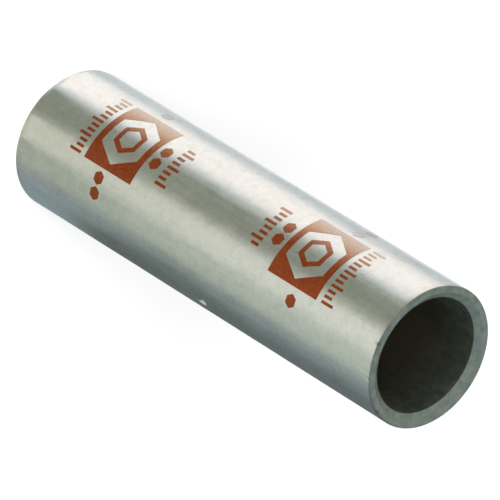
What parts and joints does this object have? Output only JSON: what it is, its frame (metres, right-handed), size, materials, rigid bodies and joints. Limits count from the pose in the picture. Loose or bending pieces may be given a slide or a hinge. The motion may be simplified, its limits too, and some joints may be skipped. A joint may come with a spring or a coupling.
{
  "type": "long barrel compression splice",
  "caption": "Straight tin-plated copper tube that is crimped over stranded wires laid end to end, with bevelled mouths and a punched wire stop near its middle.",
  "frame": {"origin": "centre of the lower end face, where the barrel stands", "axes": "+Z along the barrel's axis, towards its upper end; the printed size marks face -Y and -X, and the punch mark of the wire stop faces +X"},
  "size_m": [0.0159, 0.0158, 0.059],
  "materials": {
    "tin_plate": "satin electro-tin plate over drawn copper tube, faintly mottled, with fine drawing lines along the barrel",
    "size_mark_ink": "thin satin marking ink in orange-brown, printed on the plate"
  },
  "bodies": {
    "root": {"barrel": "tin_plate"}
  },
  "joints": []
}
